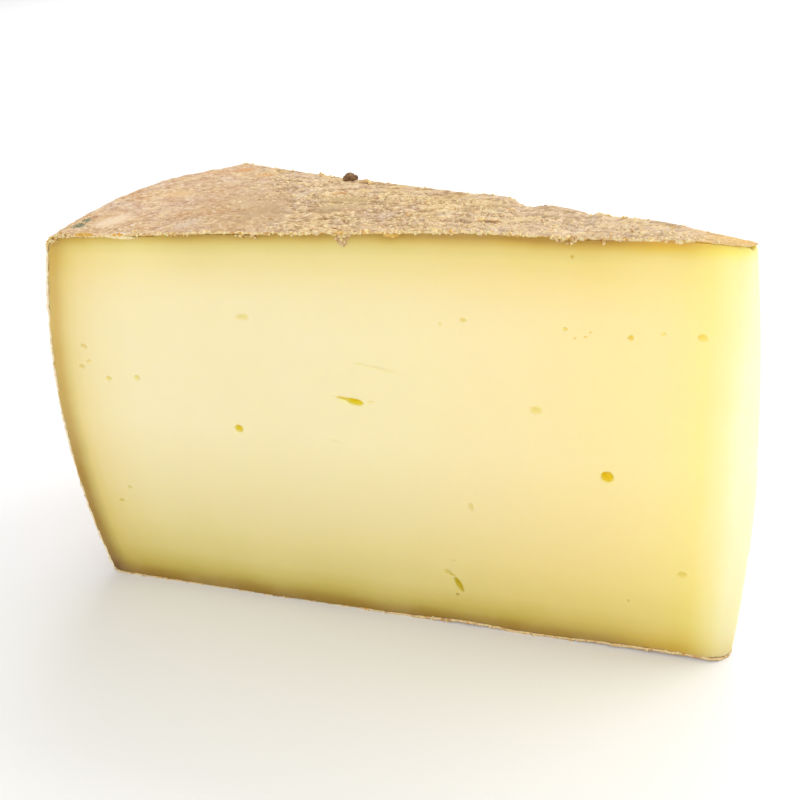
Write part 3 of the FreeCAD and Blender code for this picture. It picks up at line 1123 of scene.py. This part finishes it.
def hollow_material():
    bench = LookBench("cheese eye")
    depth = bench.maths("MINIMUM", bench.parts(bench.place)[1] - low.y, bench.to_hidden(bench.place) * -1.0)
    # Yellower with depth: partly painted glow of light inside the hollow.
    tint = bench.ramp(bench.spread(depth, 0.0, eye_run * MM, how="LINEAR"), eye_depths)
    return bench.finish({
        "Base Color": bench.mix(1.0, paste_colour(bench), tint, how="MULTIPLY"), "Roughness": 0.45,
        "Normal": bench.bump(bench.noise(bench.place, 1.2 * MM, 3.0), 0.3, 0.15 * MM),
        "Subsurface Weight": 0.85, "Subsurface Scale": 0.004, "Subsurface Radius": (1.0, 0.85, 0.2),
    })


# Spots of other colours on the top rind, and one spot of painted shadow inside the slit: place in X and Y,
# size and colour.
rind_spots = [
    (-57.3, -24.2, 1.9, (126, 132, 104)), (-57.7, -20.9, 1.4, (116, 128, 104)),
    (-57.2, -18.8, 1.3, (156, 96, 66)), (14.0, -17.4, 1.9, (230, 214, 184)),
    (-19.4, -4.4, 2.6, (232, 216, 188)), (-43.0, 19.0, 3.2, (206, 146, 86)),
    # The dark brown spot at 22.8, -21.9 is painted shadow inside the slit.
    (-10.9, -4.9, 1.8, (196, 134, 76)), (22.8, -21.9, 1.1, (74, 50, 26)), (31.0, -15.5, 0.8, (110, 76, 44)),
    (-36.0, 14.0, 2.4, (212, 154, 92)), (-25.0, -9.0, 7.5, (196, 164, 130)),
    (-47.0, -4.0, 4.0, (222, 184, 132)), (-4.6, -15.7, 3.0, (206, 162, 132)),
    (-51.1, -21.0, 5.2, (238, 214, 182)), (-21.0, -17.0, 8.0, (187, 156, 116)),
    (-8.0, -12.0, 8.0, (190, 162, 118)), (-18.6, -20.5, 0.7, (120, 84, 56)),
]


def rind_material():
    bench = LookBench("cheese rind")
    place = bench.place
    x, _, z = bench.parts(place)
    lift, cracked = [bench.add("ShaderNodeAttribute", {}, output=2, attribute_name=name)
                     for name in ("lift", "cracked")]
    broad = bench.noise(place, 14.0 * MM, 3.0, 0.6)
    patch = bench.noise(bench.shift(place, (0.3, 0.1, 0.0)), 7.0 * MM, 4.0, 0.65)
    middling = bench.noise(bench.shift(place, (0.1, 0.4, 0.2)), 2.6 * MM, 3.0, 0.6)
    speck = bench.noise(place, 0.9 * MM, 3.0, 0.7)
    drift = bench.noise(bench.stretch(place, (1.0, 1.0, 1.8)), 24.0 * MM, 3.0, 0.6)
    fleck = bench.parts(bench.cells(place, 1.3 * MM, output=1))[0]

    skin = bench.mix(bench.spread(broad, 0.4, 0.62), paint(208, 174, 140), paint(208, 175, 130))
    on_side = bench.spread(z, wheel_height - 4.0 * MM, wheel_height - 11.0 * MM, 0.0, 0.35)
    for row in (
        (patch, 0.5, 0.66, 0.65, (204, 154, 102)), (patch, 0.47, 0.32, 0.8, (220, 198, 176)),
        (middling, 0.52, 0.64, 0.7, (228, 200, 156)), (middling, 0.47, 0.35, 0.7, (184, 144, 112)),
        (speck, 0.53, 0.66, 0.8, (240, 222, 196)), (speck, 0.46, 0.32, 0.8, (164, 124, 90)),
        (drift, 0.52, 0.64, on_side, (186, 140, 98)), (drift, 0.46, 0.36, on_side, (214, 196, 174)),
    ):
        skin = bench.layer(skin, *row)
    by_crack = bench.spread(x, -52.0 * MM, -26.0 * MM, 0.18, 1.0)
    skin = bench.mix(by_crack * 0.5, skin, bench.mix(1.0, skin, paint(226, 220, 208), how="MULTIPLY"))

    bark = bench.mix(bench.spread(broad, 0.42, 0.6), paint(208, 177, 140), paint(217, 186, 134))
    bark = bench.layer(bark, middling, 0.48, 0.36, 0.5, (188, 154, 122))
    bark = bench.layer(bark, patch, 0.5, 0.62, 0.6, (198, 172, 150))
    crumb = bench.mix(fleck, paint(242, 220, 172), paint(230, 198, 138))
    bark = bench.mix(bench.spread(lift, 0.46, 0.7), bark, crumb)
    bark = bench.layer(bark, speck, 0.54, 0.66, 0.6, (248, 232, 198))
    bark = bench.layer(bark, speck, 0.45, 0.33, 0.55, (166, 130, 94))
    # Darker brown where the bark lies low between its grains: painted shade in the crevices.
    bark = bench.layer(bark, lift, 0.42, 0.18, 0.6, (150, 112, 74))
    bark = bench.mix(bench.spread(x, 8.0 * MM, 30.0 * MM, 0.0, 0.13), bark, paint(246, 228, 194))
    by_tip = bench.spread(x, high.x - 17.0 * MM, high.x - 4.0 * MM, 0.0, 0.6)
    bark = bench.mix(by_tip, bark, paint(232, 188, 106))

    colour = bench.mix(cracked, skin, bark)
    for spot_x, spot_y, size, tint in rind_spots:
        away = bench.vector("DISTANCE", bench.stretch(place, (1.0, 1.0, 0.0)),
                            (spot_x * MM, spot_y * MM, 0.0), output=1)
        ragged = away + (patch - 0.5) * (4.0 * MM)
        colour = bench.layer(colour, ragged, size * MM, 0.3 * size * MM, 0.65, tint)
    return bench.finish({
        "Base Color": colour, "Roughness": bench.spread(speck, 0.3, 0.7, 0.75, 0.95),
        "Normal": bench.bump(bench.noise(place, 0.5 * MM, 4.0, 0.65), 0.8, 0.25 * MM),
        "Specular IOR Level": 0.25,
    })


def crumb_material(name, stops):
    bench = LookBench(name)
    return bench.finish({
        "Base Color": bench.ramp(bench.noise(bench.place, 1.3 * MM, 2.0), stops), "Roughness": 0.8,
        "Normal": bench.bump(bench.noise(bench.place, 0.4 * MM, 3.0), 0.5, 0.15 * MM),
        "Subsurface Weight": 0.15, "Subsurface Scale": 0.0008, "Specular IOR Level": 0.25,
    })


# Crumbs lying on the top, and those along the cuts, which are yellower; then
# the sheets' own thickness where it shows in a cut.
top_crumb_tones = tones([
    (0.30, 184, 146, 104), (0.4, 210, 176, 132), (0.47, 228, 200, 152), (0.55, 238, 216, 170),
    (0.62, 232, 206, 154), (0.72, 212, 168, 106),
])
edge_crumb_tones = tones([
    (0.30, 186, 140, 84), (0.4, 214, 172, 104), (0.47, 236, 208, 146), (0.54, 246, 226, 176),
    (0.6, 236, 200, 128), (0.7, 214, 152, 64),
])
rind_cut_tones = tones([
    (0.30, 196, 152, 96), (0.42, 222, 184, 122), (0.5, 240, 216, 166), (0.6, 230, 194, 128),
])
side_cut_tones = tones([
    (0.30, 224, 194, 150), (0.45, 240, 218, 176), (0.6, 248, 234, 202),
])


def lump_material(name, first, second):
    bench = LookBench(name)
    grain = bench.noise(bench.place, 0.6 * MM, 4.0, 0.6)
    return bench.finish({
        "Base Color": bench.mix(bench.spread(grain, 0.4, 0.6), paint(*first), paint(*second)),
        "Roughness": 0.8, "Normal": bench.bump(grain, 0.6, 0.25 * MM), "Specular IOR Level": 0.25,
    })


# ------------------------------------------------------------ studio
floor_size = 8.0
room_light = 0.62
# Soft square lights: name, place, aim, size and power.
studio_lights = [
    ("right_back", (0.9, 0.5, 0.9), (0.0, 0.0, 0.04), 0.8, 7.5),
    ("front", (-0.2, -1.3, 0.8), (0.0, 0.0, 0.04), 1.0, 7.5),
    ("backdrop", (0.0, 2.0, 1.6), (0.0, 1.6, 0.0), 2.0, 34.0),
]


def add_floor():
    bpy.ops.object.select_all(action="DESELECT")
    bpy.ops.mesh.primitive_plane_add(size=floor_size, location=(0.0, 0.0, 0.0))
    floor = bpy.context.object
    floor.name = "floor"
    bench = LookBench("pale floor")
    shade = bench.mix(bench.noise(bench.place, 0.4, 2.0), (0.90, 0.90, 0.90, 1.0), (0.92, 0.92, 0.92, 1.0))
    floor.data.materials.append(bench.finish({"Base Color": shade, "Roughness": 0.9}))


def add_light(name, place, aim, size, power):
    data = bpy.data.lights.new(name, "AREA")
    data.shape = "SQUARE"
    data.size = size
    data.energy = power
    light = bpy.data.objects.new(name, data)
    bpy.context.scene.collection.objects.link(light)
    light.location = place
    light.rotation_euler = (Vector(aim) - Vector(place)).to_track_quat("-Z", "Y").to_euler()


def add_studio():
    world = bpy.data.worlds.new("soft room")
    world.use_nodes = True
    world.node_tree.nodes["Background"].inputs[0].default_value = (1.0, 1.0, 1.0, 1.0)
    world.node_tree.nodes["Background"].inputs[1].default_value = room_light
    bpy.context.scene.world = world
    for row in studio_lights:
        add_light(*row)
    bpy.context.scene.view_settings.view_transform = "Standard"


# ------------------------------------------------------------ making
add_camera()
rind_crumb_look = crumb_material("rind crumbs", top_crumb_tones)
edge_crumb_look = crumb_material("edge crumbs", edge_crumb_tones)
rind_cut_look = crumb_material("cut rind", rind_cut_tones)
kinds = {
    "cream": edge_crumb_look,
    "flake": lump_material("rind flake", (204, 168, 124), (230, 202, 158)),
    "pale": lump_material("pale scrap", (240, 224, 180), (228, 202, 142)),
    "dark": lump_material("dried knob", (108, 80, 56), (156, 122, 88)),
    "amber": lump_material("amber rind", (204, 154, 66), (222, 186, 106)),
    "mould": lump_material("mould", (116, 120, 96), (152, 150, 118)),
    "tan": lump_material("tan crumb", (208, 170, 116), (232, 204, 156)),
}

paste = make_paste(paste_material(), hollow_material())
rind_top, rind_side, rind_base = make_rind(rind_material())
thicken(rind_top, rind_cut_look)
thicken(rind_side, crumb_material("cut side rind", side_cut_tones))
thicken(rind_base, rind_cut_look)

flakes = crumb_shapes(rind_crumb_look, (1.5, 0.8, 0.5))
grains = crumb_shapes(edge_crumb_look, (1.1, 0.9, 0.8))
fine_grains = crumb_shapes(rind_crumb_look, (1.15, 0.9, 0.7))
lying = (0.5, 0.5, 0.7)
any_way = (3.14, 3.14, 3.14)
flaky = rough_part(14.0, -6.0)
grainy = rough_part(-8.0, 12.0)
crumbs = [
    scatter("crumbs_top", rind_top, flakes, 0.8e6, (0.28, 0.68), 0.09, lying, 11, flaky),
    scatter("crumbs_fine", rind_top, fine_grains, 1.7e6, (0.22, 0.55), 0.08, any_way, 51, grainy),
    scatter("crumbs_edge", rind_top, grains, 7.2e6, (0.2, 0.62), 0.1, any_way, 21, cut_band),
    scatter("crumbs_side", rind_side, grains, 2.0e6, (0.15, 0.3), 0.08, any_way, 31, cut_band),
    scatter("crumbs_foot", rind_base, grains, 5.0e6, (0.2, 0.5), 0.1, any_way, 41, cut_band),
]
for piece in (rind_side, rind_base, *crumbs[3:]):
    stand_on_floor(piece, rind_floor)
stand_on_floor(paste, paste_floor)
single_lumps = make_lumps(kinds, rind_top)
mould_specks = make_mould(kinds, rind_top)
for shapes in (flakes, grains, fine_grains):
    for shape in list(shapes.objects):
        drop(shape)
    bpy.data.collections.remove(shapes)

rind_pieces = [rind_top, rind_side, rind_base, *crumbs, single_lumps, mould_specks]
for piece, slot in [(paste, "paste")] + [(piece, "rind") for piece in rind_pieces]:
    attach(piece, "root")
    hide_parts("cheese_wedge")

add_floor()
add_studio()
